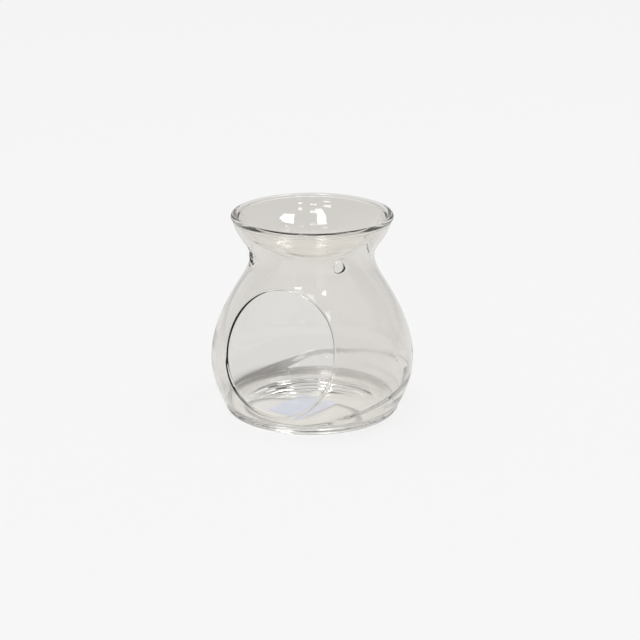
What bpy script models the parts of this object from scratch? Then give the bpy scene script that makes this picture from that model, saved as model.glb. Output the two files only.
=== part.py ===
"""Glass aroma lamp: a pear-shaped body with an oil bowl fused into its collar.

The lamp stands on its base at z = 0 with its axis on Z. The round opening for the tealight
faces -Y. Every length below is in millimetres and becomes metres when a mesh is made.
"""

import math

import bmesh
import bpy
from mathutils import Matrix, Vector

MM = 0.001

# Sizes in millimetres
WALL = 1.7                    # blown wall of the body
FUSED_GAP = 0.3               # left open where two pieces are fused, glued or seated

# The body's outline. Each height is a rise above the one before it.
FOOT_RADIUS = 37.0            # where the rounded heel meets the table
SEAM_HEIGHT = 3.6             # the floor disc is fused to the body at this height
SEAM_RADIUS = 43.6
BELLY_RISE = 23.9
BELLY_RADIUS = 50.7
SHOULDER_RISE = 34.5
SHOULDER_RADIUS = 39.4
NECK_RISE = 19.0
NECK_RADIUS = 30.8
COLLAR_RISE = 8.5
COLLAR_RADIUS = 34.7
LIP_RISE = 9.6                # the body's wall ends here, under the bowl's rim
LIP_RADIUS = 39.45

BELLY_HEIGHT = SEAM_HEIGHT + BELLY_RISE
SHOULDER_HEIGHT = BELLY_HEIGHT + SHOULDER_RISE
NECK_HEIGHT = SHOULDER_HEIGHT + NECK_RISE
COLLAR_HEIGHT = NECK_HEIGHT + COLLAR_RISE
LIP_HEIGHT = COLLAR_HEIGHT + LIP_RISE

# The wall's outside, from the seam up: height, radius, and how fast the radius grows there.
WALL_STATIONS = (
    (SEAM_HEIGHT + FUSED_GAP, SEAM_RADIUS, 0.56),
    (BELLY_HEIGHT, BELLY_RADIUS, 0.0),
    (SHOULDER_HEIGHT, SHOULDER_RADIUS, -0.58),
    (NECK_HEIGHT, NECK_RADIUS, 0.0),
    (COLLAR_HEIGHT, COLLAR_RADIUS, 0.70),
    (LIP_HEIGHT, LIP_RADIUS, 0.34),
)
WALL_STEPS = (5, 7, 5, 4, 3)  # rings between one station and the next

FOOT_RISE = 10.5              # soft glass has gathered inside the foot, up to here above the seam
FOOT_REACH = 4.5              # and this far in from the even wall, down at the seam
FOOT_STEPS = 6

OPENING_RISE = 13.35          # the round opening's centre is this far above the belly
OPENING_HALF_WIDTH = 28.4
OPENING_HALF_HEIGHT = 30.5
OPENING_HEIGHT = BELLY_HEIGHT + OPENING_RISE
EDGE_RADIUS = 0.55 * WALL     # flame polishing rounds the cut edge over the wall's whole thickness

VENT_ANGLE = 48.0             # each vent stands this far from the front or from the back
VENT_RISE = 1.0               # and this far above the narrowest part of the neck
VENT_BORE_RADIUS = 2.6
VENT_LIP_WIDTH = 2.2          # from the bore to the lip's foot on the neck
VENT_LIP_HEIGHT = 2.1
VENT_LIP_RADIUS = VENT_BORE_RADIUS + VENT_LIP_WIDTH
VENT_HEIGHT = NECK_HEIGHT + VENT_RISE

FLOOR_THICKNESS = 1.7         # in the middle, over the punt
FLOOR_DISH = 1.1              # the floor's top rises this much from the middle to the foot
RING_WIDTH = 3.5              # the flat ring that the lamp stands on
PUNT_DEPTH = 1.7              # the underside is a low dome inside the ring
PUNT_STEPS = 6
LABEL_WIDTH = 22.5
LABEL_LENGTH = 29.5
LABEL_CORNER = 2.0
LABEL_THICKNESS = 0.2
LABEL_CENTRE = (-1.8, -8.4)
LABEL_TURN = -14.5            # degrees; it was stuck on by hand
LABEL_STEPS = 5               # rings of faces from the label's middle to its edge

BOWL_WALL = 1.6
BOWL_DEPTH = 15.7             # from the body's lip down to the bowl's underside
BOWL_FLAT_RADIUS = 12.0
BOWL_FILL = (                 # how the round dish fills the collar on the way up
    # share of the bowl's depth, share of the room inside the collar at that height
    (0.12, 0.73),
    (0.41, 0.91),
    (0.75, 0.972),
)
RIM_BEAD = 1.35               # radius of the rolled rim's section
RIM_SINK = 0.1                # the rolled rim has sunk this far into its seat
RIM_OVERHANG = 0.65           # the rim stands this far outside the body's lip

BOWL_SEAT_HEIGHT = LIP_HEIGHT + FUSED_GAP
BOWL_SEAT_RADIUS = LIP_RADIUS - WALL - FUSED_GAP
BOWL_BOTTOM_HEIGHT = LIP_HEIGHT - BOWL_DEPTH
RIM_RADIUS = LIP_RADIUS + RIM_OVERHANG
RIM_CENTRE_HEIGHT = BOWL_SEAT_HEIGHT + RIM_BEAD - RIM_SINK

TURN_STEPS = 64               # facets round every turned piece
OPENING_STEPS = 68            # facets round the opening


# Small helpers
def clear_scene():
    """Remove whatever the new file starts with."""
    for thing in list(bpy.data.objects):
        bpy.data.objects.remove(thing, do_unlink=True)


def glass_material(name, colour, roughness, transmission):
    """Return a plain Principled material."""
    material = bpy.data.materials.new(name)
    material.use_nodes = True
    shader = material.node_tree.nodes["Principled BSDF"]
    shader.inputs["Base Color"].default_value = (*colour, 1.0)
    shader.inputs["Roughness"].default_value = roughness
    shader.inputs["IOR"].default_value = 1.47
    shader.inputs["Transmission Weight"].default_value = transmission
    material.diffuse_color = (*colour, 1.0)
    return material


def add_object(name, mesh, material=None):
    """Put a mesh in the scene under a name."""
    thing = bpy.data.objects.new(name, mesh)
    bpy.context.scene.collection.objects.link(thing)
    if material is not None:
        mesh.materials.append(material)
    return thing


def finish_mesh(name, shape):
    """Turn a bmesh in millimetres into a mesh in metres with its faces outward."""
    bmesh.ops.remove_doubles(shape, verts=shape.verts, dist=1e-5)
    loose = [edge for edge in shape.edges if not edge.link_faces]
    bmesh.ops.delete(shape, geom=loose, context="EDGES")
    bmesh.ops.recalc_face_normals(shape, faces=shape.faces)
    bmesh.ops.scale(shape, vec=(MM, MM, MM), verts=shape.verts)
    mesh = bpy.data.meshes.new(name)
    shape.to_mesh(mesh)
    shape.free()
    return mesh


def turned_mesh(name, section, closed):
    """Turn a section of (radius, height) points once round Z."""
    shape = bmesh.new()
    ring = [shape.verts.new((radius, 0.0, height)) for radius, height in section]
    edges = [shape.edges.new((ring[i], ring[i + 1])) for i in range(len(ring) - 1)]
    if closed:
        edges.append(shape.edges.new((ring[-1], ring[0])))
    bmesh.ops.spin(
        shape,
        geom=ring + edges,
        axis=(0.0, 0.0, 1.0),
        cent=(0.0, 0.0, 0.0),
        steps=TURN_STEPS,
        angle=math.tau,
        use_merge=True,
    )
    return finish_mesh(name, shape)


def smooth_between(low, high, steps):
    """Points of a smooth curve from one (height, radius, slope) station to the next."""
    height_a, radius_a, slope_a = low
    height_b, radius_b, slope_b = high
    span = height_b - height_a
    points = []
    for i in range(steps):
        t = i / steps
        value_a = 2 * t**3 - 3 * t**2 + 1
        value_b = 3 * t**2 - 2 * t**3
        rise_a = (t**3 - 2 * t**2 + t) * span
        rise_b = (t**3 - t**2) * span
        radius = value_a * radius_a + value_b * radius_b + rise_a * slope_a + rise_b * slope_b
        points.append((radius, height_a + t * span))
    return points


def curve_through(stations, steps):
    """One smooth curve of (radius, height) points through all the stations."""
    points = []
    for low, high, count in zip(stations, stations[1:], steps):
        points += smooth_between(low, high, count)
    height, radius, _ = stations[-1]
    points.append((radius, height))
    return points


def outer_radius(height):
    """Radius of the body's outside at a height."""
    last = WALL_STATIONS[-1]
    for low, high in zip(WALL_STATIONS, WALL_STATIONS[1:]):
        if height <= high[0]:
            break
    height = min(max(height, low[0]), last[0])
    span = high[0] - low[0]
    t = (height - low[0]) / span
    value_a = 2 * t**3 - 3 * t**2 + 1
    value_b = 3 * t**2 - 2 * t**3
    rise_a = (t**3 - 2 * t**2 + t) * span
    rise_b = (t**3 - t**2) * span
    return value_a * low[1] + value_b * high[1] + rise_a * low[2] + rise_b * high[2]


def wall_slope(height):
    """How fast the body's outer radius grows with height."""
    step = 0.05
    return (outer_radius(height + step) - outer_radius(height - step)) / (2 * step)


def inner_radius(height):
    """Radius of the even wall's inside at a height."""
    return outer_radius(height) - WALL * math.hypot(1.0, wall_slope(height))


def offset_inward(points, depth):
    """Move a section's points inward, square to the curve that they lie on."""
    moved = []
    for i, (radius, height) in enumerate(points):
        before = points[max(i - 1, 0)]
        after = points[min(i + 1, len(points) - 1)]
        along = Vector((after[0] - before[0], after[1] - before[1])).normalized()
        moved.append((radius - along.y * depth, height + along.x * depth))
    return moved


def arc(centre, radius, start, end, steps):
    """Points of an arc in a section, angles in degrees from straight out."""
    points = []
    for i in range(steps + 1):
        angle = math.radians(start + (end - start) * i / steps)
        points.append((centre[0] + radius * math.cos(angle), centre[1] + radius * math.sin(angle)))
    return points


def hide_cutter(thing):
    """Keep a helper solid out of the part: it only shapes another piece."""
    thing.hide_render = True
    thing.display_type = "WIRE"


def combine(piece, tool, operation):
    """Add a live Boolean to a piece."""
    modifier = piece.modifiers.new(f"{operation.lower()}_{tool.name}", "BOOLEAN")
    modifier.object = tool
    modifier.operation = operation
    modifier.solver = "EXACT"
    hide_cutter(tool)


def shade(piece):
    """Smooth shading with sharp edges kept where the surface really turns."""
    for face in piece.data.polygons:
        face.use_smooth = True
    piece.data.set_sharp_from_angle(angle=math.radians(40.0))


# The opening and the vents
def opening_edge(angle, depth, offset):
    """A point beside the opening: a depth into the wall, and an offset out from the clear hole."""
    x = (OPENING_HALF_WIDTH + offset) * math.cos(angle)
    z = OPENING_HEIGHT + (OPENING_HALF_HEIGHT + offset) * math.sin(angle)
    radius = outer_radius(z)
    y = -math.sqrt(radius**2 - x**2)
    normal = Vector((x / radius, y / radius, -wall_slope(z))).normalized()
    return Vector((x, y, z)) - normal * depth


def edge_section():
    """The rounded edge's section, from outside the wall to inside: depth and offset."""
    section = []
    for i in range(7):
        angle = math.radians(-80.0 + 160.0 * i / 6)
        depth = 0.5 * WALL + EDGE_RADIUS * math.sin(angle)
        section.append((depth, EDGE_RADIUS * (1.0 - math.cos(angle))))
    first = (section[0][0] - 1.2, section[0][1] + 1.2)
    last = (section[-1][0] + 1.2, section[-1][1] + 1.2)
    return [first] + section + [last]


def opening_cutter():
    """A waisted plug. It leaves a rounded edge that stays square to the wall all the way round."""
    shape = bmesh.new()
    rings = []
    for depth, offset in edge_section():
        ring = []
        for i in range(OPENING_STEPS):
            point = opening_edge(math.tau * i / OPENING_STEPS, depth, offset)
            ring.append(shape.verts.new(point))
        rings.append(ring)
    widest = outer_radius(OPENING_HEIGHT)
    front = shape.verts.new((0.0, -1.4 * widest, OPENING_HEIGHT))
    back = shape.verts.new((0.0, -0.5 * widest, OPENING_HEIGHT))
    for i in range(OPENING_STEPS):
        j = (i + 1) % OPENING_STEPS
        for outer, inner in zip(rings, rings[1:]):
            shape.faces.new((outer[i], outer[j], inner[j], inner[i]))
        shape.faces.new((front, rings[0][j], rings[0][i]))
        shape.faces.new((back, rings[-1][i], rings[-1][j]))
    bmesh.ops.triangulate(shape, faces=shape.faces)
    return add_object("opening_cutter", finish_mesh("opening_cutter", shape))


def vent_places():
    """Where the four vents stand: a frame with Z pointing straight out of the neck."""
    places = []
    for angle in (VENT_ANGLE, 180.0 - VENT_ANGLE, 180.0 + VENT_ANGLE, -VENT_ANGLE):
        turn = Matrix.Rotation(math.radians(angle), 4, "Z")
        reach = Matrix.Translation((0.0, -outer_radius(VENT_HEIGHT), VENT_HEIGHT))
        outward = Matrix.Rotation(math.radians(90.0), 4, "X")
        places.append(turn @ reach @ outward)
    return places


def vent_lips():
    """The low rounded lips drawn out round the four vents."""
    width = VENT_LIP_WIDTH
    fall = 0.5 * VENT_LIP_RADIUS**2 / NECK_RADIUS + 0.1
    section = [
        (VENT_BORE_RADIUS + 0.25 * width, VENT_LIP_HEIGHT),
        (VENT_BORE_RADIUS + 0.53 * width, 0.88 * VENT_LIP_HEIGHT),
        (VENT_BORE_RADIUS + 0.82 * width, 0.45 * VENT_LIP_HEIGHT),
        (VENT_LIP_RADIUS, -fall),
        (VENT_BORE_RADIUS + 0.33 * width, -0.6 * WALL),
    ]
    shape = bmesh.new()
    for place in vent_places():
        steps = 28
        rings = []
        for radius, height in section:
            ring = []
            for i in range(steps):
                angle = math.tau * i / steps
                point = Vector((radius * math.cos(angle), radius * math.sin(angle), height))
                ring.append(shape.verts.new(place @ point))
            rings.append(ring)
        shape.faces.new(rings[0])
        shape.faces.new(list(reversed(rings[-1])))
        for upper, lower in zip(rings, rings[1:]):
            for i in range(steps):
                j = (i + 1) % steps
                shape.faces.new((upper[i], lower[i], lower[j], upper[j]))
    return add_object("vent_lips", finish_mesh("vent_lips", shape))


def vent_bores():
    """Four plain drills, one through each lip."""
    shape = bmesh.new()
    for place in vent_places():
        bmesh.ops.create_cone(
            shape,
            cap_ends=True,
            segments=28,
            radius1=VENT_BORE_RADIUS,
            radius2=VENT_BORE_RADIUS,
            depth=2.0 * (VENT_LIP_HEIGHT + WALL + 1.0),
            matrix=place,
        )
    return add_object("vent_bores", finish_mesh("vent_bores", shape))


# The pieces
def foot_section():
    """The inside of the foot, from the seam up to where the wall is even again."""
    seam = SEAM_HEIGHT + FUSED_GAP
    points = []
    for i in range(FOOT_STEPS + 1):
        share = i / FOOT_STEPS
        height = seam + FOOT_RISE * share
        points.append((inner_radius(height) - FOOT_REACH * (1.0 - share)**2, height))
    return points


def make_body(material):
    """The blown body: one pear-shaped wall with its collar, opening and vents."""
    outside = curve_through(WALL_STATIONS, WALL_STEPS)
    inside = offset_inward(outside, WALL)
    inside[-1] = (inside[-1][0], outside[-1][1])
    foot_top = SEAM_HEIGHT + FUSED_GAP + FOOT_RISE
    above = [point for point in inside if point[1] > foot_top + 0.5]
    section = list(reversed(outside)) + foot_section() + above
    body = add_object("glass_body", turned_mesh("glass_body", section, closed=True), material)
    combine(body, opening_cutter(), "DIFFERENCE")
    combine(body, vent_lips(), "UNION")
    combine(body, vent_bores(), "DIFFERENCE")
    return body


def punt_height(radius):
    """Height of the underside's low dome at a radius inside the standing ring."""
    share = radius / (FOOT_RADIUS - RING_WIDTH)
    return PUNT_DEPTH * (1.0 - share**2)


def make_floor(material):
    """The floor disc: rounded heel outside, low dome underneath, dished on top."""
    seam = SEAM_HEIGHT
    inner = foot_section()[0][0] - FUSED_GAP
    ring_edge = FOOT_RADIUS - RING_WIDTH
    middle = PUNT_DEPTH + FLOOR_THICKNESS
    heel = []
    for i in range(6):
        angle = math.radians(90.0 * i / 5)
        radius = FOOT_RADIUS + (SEAM_RADIUS - FOOT_RADIUS) * math.cos(angle)
        heel.append((radius, seam * (1.0 - math.sin(angle))))
    punt = []
    for i in range(PUNT_STEPS + 1):
        radius = ring_edge * (1.0 - i / PUNT_STEPS)
        punt.append((radius, punt_height(radius)))
    upper = []
    for i in range(PUNT_STEPS + 1):
        share = i / PUNT_STEPS
        upper.append((share * (inner - FUSED_GAP), middle + FLOOR_DISH * share**2))
    upper.append((inner, seam))
    section = heel + punt + upper
    floor = add_object("floor_disc", turned_mesh("floor_disc", section, closed=True), material)
    return floor


def make_bowl(material):
    """The oil bowl: a shallow dish whose rolled rim closes the top of the collar."""
    depth = BOWL_SEAT_HEIGHT - BOWL_BOTTOM_HEIGHT
    places = [(BOWL_FLAT_RADIUS, BOWL_BOTTOM_HEIGHT)]
    for depth_share, room_share in BOWL_FILL:
        height = BOWL_BOTTOM_HEIGHT + depth_share * depth
        places.append((room_share * inner_radius(height), height))
    places.append((BOWL_SEAT_RADIUS, BOWL_SEAT_HEIGHT))
    stations = []
    for i, (radius, height) in enumerate(places):
        before = places[max(i - 1, 0)]
        after = places[min(i + 1, len(places) - 1)]
        slope = (after[1] - before[1]) / (after[0] - before[0]) if i else 0.0
        stations.append((radius, height, slope))
    under = [(0.0, BOWL_BOTTOM_HEIGHT)]
    for height, radius in curve_through(stations, (3, 4, 3, 2)):
        under.append((radius, height))
    hollow = offset_inward(under, BOWL_WALL)
    hollow[0] = (0.0, BOWL_BOTTOM_HEIGHT + BOWL_WALL)
    centre = (RIM_RADIUS - RIM_BEAD, RIM_CENTRE_HEIGHT)
    start = -math.degrees(math.asin(1.0 - RIM_SINK / RIM_BEAD))
    rim = arc(centre, RIM_BEAD, start, 150.0, 10)
    section = under + rim + list(reversed(hollow[:-1]))
    return add_object("oil_bowl", turned_mesh("oil_bowl", section, closed=True), material)


def label_outline():
    """The label's rounded rectangle round its own middle."""
    half_width = 0.5 * LABEL_WIDTH - LABEL_CORNER
    half_length = 0.5 * LABEL_LENGTH - LABEL_CORNER
    outline = []
    for side_x, side_y, start in ((1, 1, 0.0), (-1, 1, 90.0), (-1, -1, 180.0), (1, -1, 270.0)):
        for i in range(6):
            angle = math.radians(start + 18.0 * i)
            x = side_x * half_width + LABEL_CORNER * math.cos(angle)
            y = side_y * half_length + LABEL_CORNER * math.sin(angle)
            outline.append((x, y))
    return outline


def make_label(material):
    """A thin blank label that follows the dome of the underside."""
    turn = Matrix.Rotation(math.radians(LABEL_TURN), 2)
    outline = [turn @ Vector(point) for point in label_outline()]
    centre = Vector(LABEL_CENTRE)
    shape = bmesh.new()

    def lay(flat, drop):
        height = punt_height(flat.length) - drop
        return shape.verts.new((flat.x, flat.y, height))

    edges = []
    for drop in (FUSED_GAP, FUSED_GAP + LABEL_THICKNESS):
        middle = lay(centre, drop)
        rings = []
        for k in range(1, LABEL_STEPS + 1):
            rings.append([lay(centre + point * (k / LABEL_STEPS), drop) for point in outline])
        for i in range(len(outline)):
            j = (i + 1) % len(outline)
            shape.faces.new((middle, rings[0][i], rings[0][j]))
            for inner, outer in zip(rings, rings[1:]):
                shape.faces.new((inner[i], outer[i], outer[j], inner[j]))
        edges.append(rings[-1])
    upper, lower = edges
    for i in range(len(outline)):
        j = (i + 1) % len(outline)
        shape.faces.new((upper[i], lower[i], lower[j], upper[j]))
    return add_object("base_label", finish_mesh("base_label", shape), material)


def build():
    """Make every piece of the lamp."""
    clear_scene()
    body = make_body(glass_material("body_glass", (0.93, 0.95, 0.93), 0.02, 1.0))
    floor = make_floor(glass_material("floor_glass", (0.90, 0.94, 0.91), 0.02, 1.0))
    bowl = make_bowl(glass_material("bowl_glass", (0.94, 0.95, 0.94), 0.02, 1.0))
    label = make_label(glass_material("label_paper", (0.72, 0.76, 0.92), 0.55, 0.0))
    for piece in (body, floor, bowl, label):
        shade(piece)


build()
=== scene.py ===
# %% [markdown]
# # A blown-glass aroma lamp
#
# The lamp is one small piece of clear glass. A pear-shaped body has a big round opening for a
# tealight, four little vents in the neck, and a shallow dish for scented oil melted onto its top.
# Clear glass has almost no look of its own: what we see is what its surfaces bend and reflect.
# So this lesson spends its effort on smooth, accurate surfaces, and keeps the shaders short.

# %% Load the measured model
import math

import bmesh
import bpy
from mathutils import Matrix, Vector, noise


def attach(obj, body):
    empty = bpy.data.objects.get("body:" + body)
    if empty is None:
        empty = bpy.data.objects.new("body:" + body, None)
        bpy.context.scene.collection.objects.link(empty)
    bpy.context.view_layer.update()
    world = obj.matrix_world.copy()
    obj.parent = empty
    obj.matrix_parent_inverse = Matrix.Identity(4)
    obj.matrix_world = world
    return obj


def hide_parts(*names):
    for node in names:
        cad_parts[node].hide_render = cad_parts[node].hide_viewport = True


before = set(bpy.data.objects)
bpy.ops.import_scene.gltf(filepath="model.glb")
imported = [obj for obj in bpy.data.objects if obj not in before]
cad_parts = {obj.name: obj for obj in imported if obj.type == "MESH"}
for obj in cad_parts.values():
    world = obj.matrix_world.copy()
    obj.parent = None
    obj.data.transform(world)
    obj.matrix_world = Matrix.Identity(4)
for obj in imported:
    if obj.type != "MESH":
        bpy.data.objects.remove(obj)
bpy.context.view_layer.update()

print("nodes:", sorted(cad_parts))

# %% [markdown]
# ## The sizes
#
# A glassblower works from a profile gauge: a few heights, and how wide the piece is at each.
# The same gauge is written down here in millimetres. The outside has the numbers that the measured
# model was built from, so the glass that we make keeps its size and outline. The wall is drawn
# 0.2 mm thinner than there, because that gives the dark edges the fine width of the photograph.

# %% The profile gauge
MM = 0.001                    # the scene is in metres
WALL = 1.5                    # thickness of the blown wall
WALL_STATIONS = (
    # height, outer radius, how fast the radius grows there
    (3.9, 43.6, 0.56),
    (27.5, 50.7, 0.0),
    (62.0, 39.4, -0.58),
    (81.0, 30.8, 0.0),
    (89.5, 34.7, 0.70),
    (99.1, 39.45, 0.34),
)
OPENING_HEIGHT = 40.85        # its middle above the table
OPENING_HALF_WIDTH = 28.4
OPENING_HALF_HEIGHT = 30.5
VENT_HEIGHT = 82.0
VENT_ANGLES = (48.0, 132.0, 228.0, 312.0)
print("height of the wall:", WALL_STATIONS[-1][0] - WALL_STATIONS[0][0], "mm")

# %% [markdown]
# ## A smooth curve through the gauge
#
# Hot glass pulls itself into fair curves, so straight runs between the stations would look wrong
# at once, and doubly so in clear glass, where every kink bends the light. A spline tool could draw
# the curve by hand. A cubic through each pair of stations gives the same fair line from numbers,
# and we can ask it for the radius and the slope at any height.

# %% Ask the curve for a radius and a slope
def cubic(low, high, height):
    """Radius on the cubic from one (height, radius, slope) station to the next."""
    span = high[0] - low[0]
    t = (height - low[0]) / span
    keep = 2 * t**3 - 3 * t**2 + 1
    leave = (t**3 - 2 * t**2 + t) * span
    arrive = (t**3 - t**2) * span
    return keep * low[1] + (1 - keep) * high[1] + leave * low[2] + arrive * high[2]


def outer_radius(height):
    """Radius of the body's outside at a height."""
    height = min(max(height, WALL_STATIONS[0][0]), WALL_STATIONS[-1][0])
    for low, high in zip(WALL_STATIONS, WALL_STATIONS[1:]):
        if height <= high[0]:
            break
    return cubic(low, high, height)


def wall_slope(height):
    """How fast the outside's radius grows with height."""
    return (outer_radius(height + 0.05) - outer_radius(height - 0.05)) / 0.1


print("radius at belly, shoulder, neck:", [round(outer_radius(h), 2) for h in (27.5, 62, 81)])

# %% [markdown]
# ## A place in the wall
#
# Every point of the body can be named by three numbers: the turn about the axis, measured from
# the front, the height on the outside, and the depth into the wall. One function turns them into
# a point in space. With it, sheets, edges and vents all lie on the same curved wall by themselves.

# %% Turn, height and depth to a point
def spun(turn, radius, height):
    """A point at a turn in radians from the front, which is -Y, a radius and a height."""
    return Vector((radius * math.sin(turn), -radius * math.cos(turn), height))


def wall_point(turn, height, depth=0.0):
    """A point in the wall, square in from the outside at a height."""
    slope = wall_slope(height)
    length = math.hypot(1.0, slope)
    return spun(turn, outer_radius(height) - depth / length, height + depth * slope / length)


def ease(low, high, value):
    """0 below low, 1 above high, and a smooth climb between."""
    t = min(max((value - low) / (high - low), 0.0), 1.0)
    return t * t * (3 - 2 * t)


UNEVEN_WALL = 0.075           # largest share by which the wall is thicker or thinner


def wall_depth(turn, height):
    """Thickness of the wall. Blown glass is never quite even, away from its two welded ends."""
    fade = ease(7.0, 16.0, height) * (1 - ease(84.0, 94.0, height))
    spot = spun(turn, 1.3, height / 30.0)
    drift = noise.noise(spot) + 0.35 * noise.noise(spot * 2.7)
    return WALL * (1 + UNEVEN_WALL * fade * drift)


print("a point on the belly:", [round(value, 2) for value in wall_point(0.5, 27.5)])

# %% [markdown]
# ## The thick foot
#
# When the floor was melted on, soft glass ran down and gathered inside the foot, more of it at the
# right and the back than in front. It ends above in an edge like that of a drop, and a second,
# lower edge lies under it. Those edges draw the broad grey arcs in the base, as they bend the
# painted shade that lies on the table behind the lamp into view. They could be sculpted, but an
# edge whose height leans to one side and a smooth swell below it do the same.

# %% Where the foot starts to swell, and how far
FOOT_BASE = 3.9                       # height of the seam, where the wall begins
HEAVY_SIDE = math.radians(113.5)      # turn at which the edge is highest
FOOT_START = 13.0                     # middle height of the edge
FOOT_LEAN = 9.5                       # how far it leans up and down from there
FOOT_LOWER = 5.0                      # how much lower it is in front
FOOT_THINNER = 0.75                   # and the share by which it is thinner there
FOOT_BULGE = 1.7                      # a small rise of the edge at the back
BULGE_TURN = math.radians(200.5)
BULGE_WIDTH = 0.26                    # in radians
DROP_EDGE = 2.6                       # how far the edge stands in from the even wall
DROP_LENGTH = 2.9                     # the height over which it does so
DROP_FADE = 0.9                       # the share of it that is lost again down to the floor
SECOND_EDGE = 1.1                     # how far the lower edge stands in
SECOND_HEIGHT = 12.5                  # the height at which it starts
SECOND_LENGTH = 2.6                   # and the height that it takes to get there


def foot_swell(turn, height):
    """How far the inside of the foot stands in from the even wall."""
    lean = math.cos(turn - HEAVY_SIDE)
    ahead = max(math.cos(turn - HEAVY_SIDE + math.pi / 2), 0.0)
    off = (turn - BULGE_TURN + math.pi) % math.tau - math.pi
    bulge = FOOT_BULGE * math.exp(-(off / BULGE_WIDTH)**2)
    start = FOOT_START + FOOT_LEAN * lean - FOOT_LOWER * ahead + bulge
    below = start - height
    if below <= 0.0:
        return 0.0
    rest = max(start - DROP_LENGTH - 5.0, 3.0)
    edge = DROP_EDGE * ease(0.0, DROP_LENGTH, below)
    edge *= 1 - DROP_FADE * min(max(below - DROP_LENGTH, 0.0) / rest, 1.0)
    second = SECOND_EDGE * max(lean, 0.0) * ease(0.0, SECOND_LENGTH, SECOND_HEIGHT - height)
    return (edge + second) * ease(4.0, 9.0, start) * (1 - FOOT_THINNER * ahead)


def inner_point(turn, height):
    """A point on the inside of the wall, across from a height on the outside."""
    point = wall_point(turn, height, wall_depth(turn, height))
    swell = foot_swell(turn, point.z)
    radius = math.hypot(point.x, point.y)
    return Vector((point.x * (1 - swell / radius), point.y * (1 - swell / radius), point.z))


print("swell at the heavy side and across from it:",
      [round(foot_swell(turn, 6.0), 2) for turn in (HEAVY_SIDE, HEAVY_SIDE + math.pi)])

# %% [markdown]
# ## Building with rings
#
# Lathe work, holes and lips all come down to rings of points joined by bands of faces. A modifier
# such as Screw or a Boolean could make each of them, but Booleans leave ragged triangles, and they
# show in glass. So this small helper keeps the points and faces of one piece while we add rings.

# %% A helper that joins rings into a skin
class Skin:
    """The points and faces of one piece, in millimetres."""

    def __init__(self):
        self.points = []
        self.faces = []
        self.welds = []

    def add(self, point):
        """Add one point and give its number."""
        self.points.append(point)
        return len(self.points) - 1

    def ring(self, points):
        """Add points and give their numbers."""
        return [self.add(point) for point in points]

    def band(self, lower, upper, weld=False):
        """Join two closed rings that have as many points each. A weld gets the second material."""
        count = len(lower)
        for i in range(count):
            j = (i + 1) % count
            if weld:
                self.welds.append(len(self.faces))
            self.faces.append((lower[i], lower[j], upper[j], upper[i]))

    def fan(self, centre, ring):
        """Close a ring onto one point."""
        count = len(ring)
        for i in range(count):
            self.faces.append((centre, ring[i], ring[(i + 1) % count]))

    def finish(self, name, crisp=35.0):
        """Make the piece: outward faces, smooth shading, edges kept only where it really turns."""
        mesh = bpy.data.meshes.new(name)
        mesh.from_pydata([point * MM for point in self.points], [], self.faces)
        shape = bmesh.new()
        shape.from_mesh(mesh)
        bmesh.ops.recalc_face_normals(shape, faces=shape.faces)
        if shape.calc_volume(signed=True) < 0:  # a closed hollow piece can come out inside out
            bmesh.ops.reverse_faces(shape, faces=shape.faces)
        open_edges = sum(1 for edge in shape.edges if len(edge.link_faces) != 2)
        shape.to_mesh(mesh)
        shape.free()
        for face in mesh.polygons:
            face.use_smooth = True
        for number in self.welds:
            mesh.polygons[number].material_index = 1
        mesh.set_sharp_from_angle(angle=math.radians(crisp))
        piece = bpy.data.objects.new(name, mesh)
        bpy.context.scene.collection.objects.link(piece)
        print(name, "faces:", len(mesh.polygons), "open edges:", open_edges)
        return piece


def turned(skin, section, columns):
    """Spin a section of (radius, height) points into rings, one for each point."""
    rings = []
    for radius, height in section:
        turns = [math.tau * i / columns for i in range(columns)]
        rings.append(skin.ring(spun(turn, radius, height) for turn in turns))
    return rings


def bend(start, start_pull, end_pull, end, steps):
    """Points of a smooth bend in a section, without its two ends."""
    points = []
    for i in range(1, steps):
        t = i / steps
        a, b, c, d = (1 - t)**3, 3 * t * (1 - t)**2, 3 * t * t * (1 - t), t**3
        points.append(tuple(
            a * p + b * q + c * r + d * s for p, q, r, s in zip(start, start_pull, end_pull, end)
        ))
    return points


print("a quarter turn in three steps:", bend((0, 0), (0.55, 0), (1, 0.45), (1, 1), 3))

# %% [markdown]
# ## The body's two sheets
#
# The wall is two sheets, outside and inside, 1.5 mm apart. Each is a grid of columns round the
# axis and rows up the height. Where the opening and the vents go, a block of cells is left out.
# The inside has fewer rows, because smooth bends lead from it onto the floor and into the rim.

# %% Rows, columns and the blocks left out
COLUMNS = 240
COLUMN_STEP = 360.0 / COLUMNS  # degrees from one column to the next
ROW = 0.75                    # height of a cell
ROWS = 127
INSIDE_ROWS = (3, 126)        # the first and the last row that the inside has
VENT_ROW = 104                # the row at the middle of the vents
VENT_CELLS = 9                # cells from a vent's middle to the border of its block


def row_height(j):
    """Height of a row on the outside of the wall."""
    if j == 0:
        return WALL_STATIONS[0][0]
    if j == ROWS:
        return WALL_STATIONS[-1][0]
    return VENT_HEIGHT + (j - VENT_ROW) * ROW


def column_turn(i):
    """Turn of a column, in radians from the front."""
    return math.tau * i / COLUMNS


OPENING_BLOCK = (-31, 31, 3, 94)
VENT_BLOCKS = [
    (round(angle / COLUMN_STEP) - VENT_CELLS, round(angle / COLUMN_STEP) + VENT_CELLS,
     VENT_ROW - VENT_CELLS, VENT_ROW + VENT_CELLS)
    for angle in VENT_ANGLES
]
print("opening block:", OPENING_BLOCK, "vent blocks:", VENT_BLOCKS)

# %% [markdown]
# ## Laying a sheet
#
# A sheet is laid cell by cell. The cells of a block are left out, with the grid points strictly
# inside it. The points on its border stay, because the rings that fill it are joined to them.

# %% Lay the cells of a sheet
def in_block(i, j, block):
    """True for a cell, named by its first column and row, that a block leaves out."""
    first, last, low, high = block
    return (i - first) % COLUMNS < last - first and low <= j < high


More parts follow.
